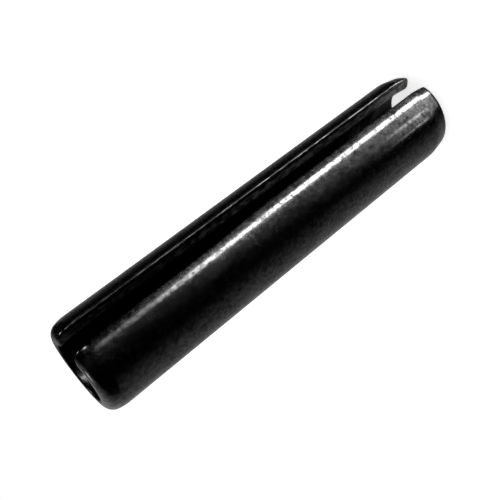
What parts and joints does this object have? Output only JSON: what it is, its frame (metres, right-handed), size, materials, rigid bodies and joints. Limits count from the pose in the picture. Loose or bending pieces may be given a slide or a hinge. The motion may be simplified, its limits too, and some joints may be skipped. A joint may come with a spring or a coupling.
{
  "type": "spring roll pin",
  "caption": "Slotted spring pin rolled from blackened spring steel strip, open along its whole length, with swaged ends that lead it into its hole.",
  "frame": {"origin": "centre of the lower end face, on the pin's axis, where the pin stands", "axes": "+Z along the pin's axis from the end it stands on to the other end, and the slot opens towards -Y"},
  "size_m": [0.0104, 0.0102, 0.05],
  "materials": {
    "blackened_spring_steel": "black oxide over hardened spring steel, lightly oiled, semi-gloss with the fine grain of the strip"
  },
  "bodies": {
    "root": {"spring_pin": "blackened_spring_steel"}
  },
  "joints": []
}
